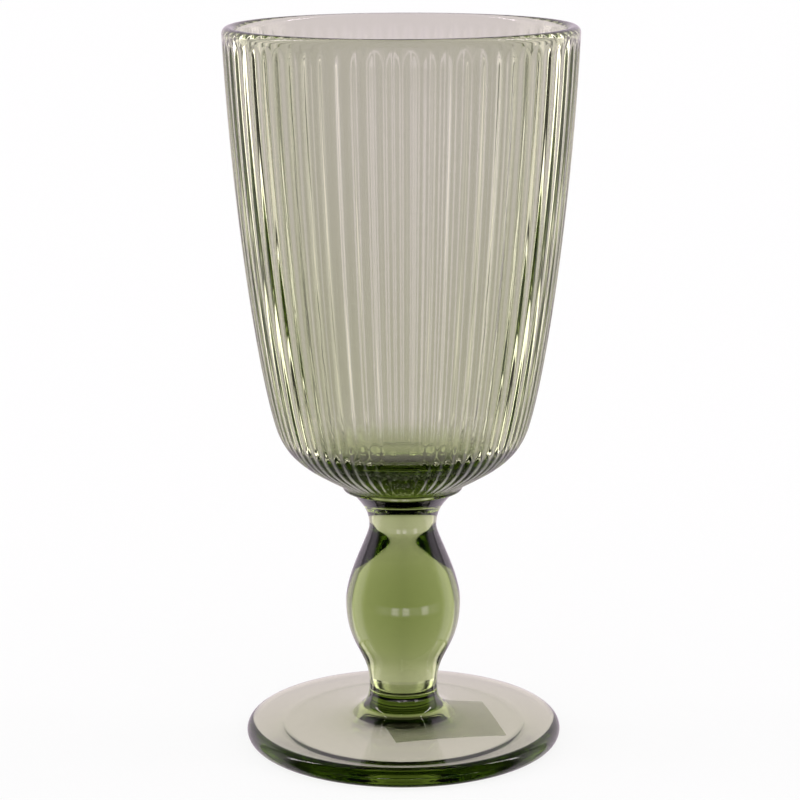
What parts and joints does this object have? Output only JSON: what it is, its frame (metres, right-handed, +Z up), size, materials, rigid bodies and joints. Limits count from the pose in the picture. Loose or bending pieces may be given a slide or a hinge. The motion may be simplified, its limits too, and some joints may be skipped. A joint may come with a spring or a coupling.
{
  "type": "water goblet",
  "caption": "Pressed green-tinted glass goblet with a fluted flaring bowl, a solid baluster stem and a round disc foot, for drinks at the table.",
  "frame": {"origin": "centre of the foot's resting ring, on the table", "axes": "+Z up along the goblet's axis, -Y towards the picture's camera"},
  "size_m": [0.0798, 0.0798, 0.166],
  "materials": {
    "green_glass": "pressed, fire-polished",
    "label_film": "plain matt film"
  },
  "bodies": {
    "root": {"bowl": "green_glass", "stem": "green_glass", "foot": "green_glass", "blank_label": "label_film"}
  },
  "joints": []
}
